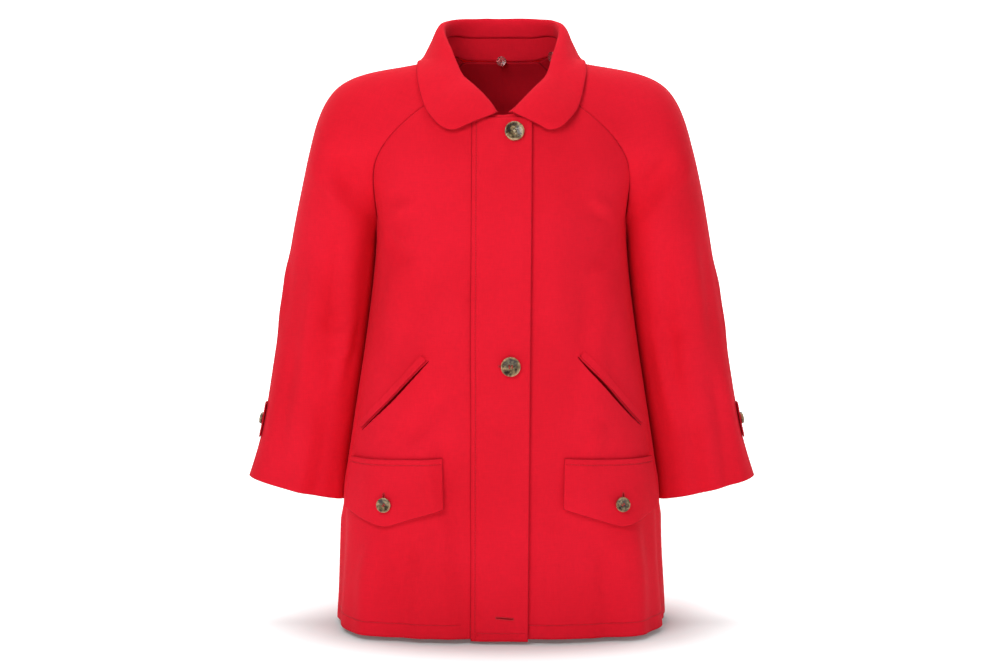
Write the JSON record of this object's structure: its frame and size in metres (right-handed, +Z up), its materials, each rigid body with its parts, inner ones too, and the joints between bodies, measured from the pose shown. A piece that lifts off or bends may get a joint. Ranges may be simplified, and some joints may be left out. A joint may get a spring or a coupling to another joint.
{
  "type": "anorak (button-front raglan car coat), worn form with no wearer",
  "caption": "Hollow worn form of a hip-length raglan coat with shirt collar, fly placket, slanted pockets, pointed flaps and cuff tabs.",
  "frame": {"origin": "middle of the neck opening at the height of the back neck seam, where the wearer's shoulders carry the coat", "axes": "+Z up, the coat's front faces -Y, the wearer's left is at +X"},
  "size_m": [0.6644, 0.3052, 0.7856],
  "materials": {
    "red_cloth": "matte",
    "horn_plastic": "gloss",
    "clear_plastic": "gloss"
  },
  "bodies": {
    "root": {"front_right": "red_cloth", "front_left": "red_cloth", "back": "red_cloth", "sleeve_front_right": "red_cloth", "sleeve_back_right": "red_cloth", "sleeve_front_left": "red_cloth", "sleeve_back_left": "red_cloth", "placket": "red_cloth", "collar_stand": "red_cloth", "collar_fall": "red_cloth", "pocket_flap_right": "red_cloth", "pocket_flap_left": "red_cloth", "pocket_welt_right": "red_cloth", "pocket_welt_left": "red_cloth", "sleeve_tab_right": "red_cloth", "sleeve_tab_left": "red_cloth", "button_front_1": "horn_plastic", "button_front_2": "horn_plastic", "button_flap_right": "horn_plastic", "button_flap_left": "horn_plastic", "button_tab_right": "horn_plastic", "button_tab_left": "horn_plastic", "button_hood_centre": "clear_plastic", "button_hood_left": "clear_plastic", "button_hood_right": "clear_plastic"}
  },
  "joints": []
}
